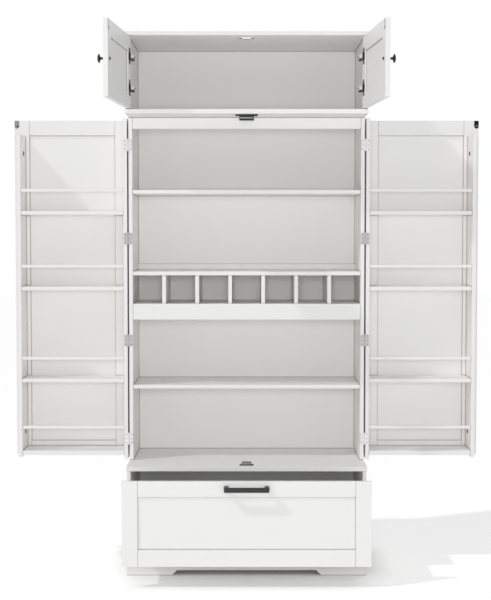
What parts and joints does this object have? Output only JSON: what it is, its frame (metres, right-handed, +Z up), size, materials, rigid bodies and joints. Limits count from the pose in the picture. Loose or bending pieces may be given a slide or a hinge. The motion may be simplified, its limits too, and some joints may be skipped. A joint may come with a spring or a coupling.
{
  "type": "kitchen pantry cupboard",
  "caption": "Tall white freestanding pantry cupboard with upper doors, rack doors, open cubby row and a deep bottom drawer, all shown open.",
  "frame": {"origin": "on the floor under the middle of the cabinet's box with its doors and drawer open as at rest", "axes": "+Z up, -Y out of the front towards someone who opens it, +X to that person's right"},
  "size_m": [1.608, 0.7696, 1.8],
  "materials": {
    "white_paint": "smooth satin white paint on fibreboard",
    "white_board": "matte white foil on thin board",
    "zinc": "bright zinc plate",
    "nickel": "nickel plate",
    "black_metal": "matte black powder coat",
    "black_plastic": "matte",
    "grey_plastic": "matte",
    "white_plastic": "satin",
    "white_steel": "white epoxy coat"
  },
  "bodies": {
    "carcass": {"base_floor_and_plinth": "white_paint", "base_side_left": "white_paint", "base_side_right": "white_paint", "ledge_board": "white_paint", "middle_side_left": "white_paint", "middle_side_right": "white_paint", "back_panel": "white_board", "shelf_upper": "white_paint", "cubby_unit": "white_paint", "shelf_lower": "white_paint", "header_rail": "white_paint", "cornice_board": "white_paint", "top_side_left": "white_paint", "top_side_right": "white_paint", "top_board": "white_paint", "catch_upper_doors": "white_plastic", "catch_main_doors_top": "black_plastic", "catch_main_doors_bottom": "grey_plastic", "runner_left": "white_steel", "runner_right": "white_steel", "hinge_arm_bottom_left": "nickel", "hinge_arm_top_left": "nickel", "butt_hinge_1_pin_leaf_left": "zinc", "butt_hinge_2_pin_leaf_left": "zinc", "butt_hinge_3_pin_leaf_left": "zinc", "butt_hinge_4_pin_leaf_left": "zinc", "hinge_arm_bottom_right": "nickel", "hinge_arm_top_right": "nickel", "butt_hinge_1_pin_leaf_right": "zinc", "butt_hinge_2_pin_leaf_right": "zinc", "butt_hinge_3_pin_leaf_right": "zinc", "butt_hinge_4_pin_leaf_right": "zinc"},
    "drawer": {"drawer_front": "white_paint", "drawer_side_left": "white_board", "drawer_side_right": "white_board", "drawer_back": "white_board", "drawer_bottom": "white_board", "drawer_pull": "black_metal"},
    "upper_left": {"upper_door_left": "white_paint", "upper_knob_left": "black_metal", "hinge_cup_bottom_left": "nickel", "hinge_cup_top_left": "nickel"},
    "main_left": {"main_door_left": "white_paint", "door_rack_left": "white_paint", "main_pull_left": "black_metal", "butt_hinge_1_door_leaf_left": "zinc", "butt_hinge_2_door_leaf_left": "zinc", "butt_hinge_3_door_leaf_left": "zinc", "butt_hinge_4_door_leaf_left": "zinc"},
    "upper_right": {"upper_door_right": "white_paint", "upper_knob_right": "black_metal", "hinge_cup_bottom_right": "nickel", "hinge_cup_top_right": "nickel"},
    "main_right": {"main_door_right": "white_paint", "door_rack_right": "white_paint", "main_pull_right": "black_metal", "butt_hinge_1_door_leaf_right": "zinc", "butt_hinge_2_door_leaf_right": "zinc", "butt_hinge_3_door_leaf_right": "zinc", "butt_hinge_4_door_leaf_right": "zinc"}
  },
  "joints": [
    {"name": "drawer_slide", "type": "slide", "parent": "carcass", "child": "drawer", "axis": [0, -1, 0], "range_m": [-0.178, 0.082]},
    {"name": "upper_left_hinge", "type": "hinge", "parent": "carcass", "child": "upper_left", "pos_m": [-0.392, 0.0043, 1.6674], "axis": [0, 0, 1], "range_deg": [-10, 95]},
    {"name": "main_left_hinge", "type": "hinge", "parent": "carcass", "child": "main_left", "pos_m": [-0.40275, 0.1295, 0.94925], "axis": [0, 0, 1], "range_deg": [0, 180]},
    {"name": "upper_right_hinge", "type": "hinge", "parent": "carcass", "child": "upper_right", "pos_m": [0.392, 0.0043, 1.6674], "axis": [0, 0, -1], "range_deg": [-10, 95]},
    {"name": "main_right_hinge", "type": "hinge", "parent": "carcass", "child": "main_right", "pos_m": [0.40275, 0.1295, 0.94925], "axis": [0, 0, -1], "range_deg": [0, 180]}
  ]
}
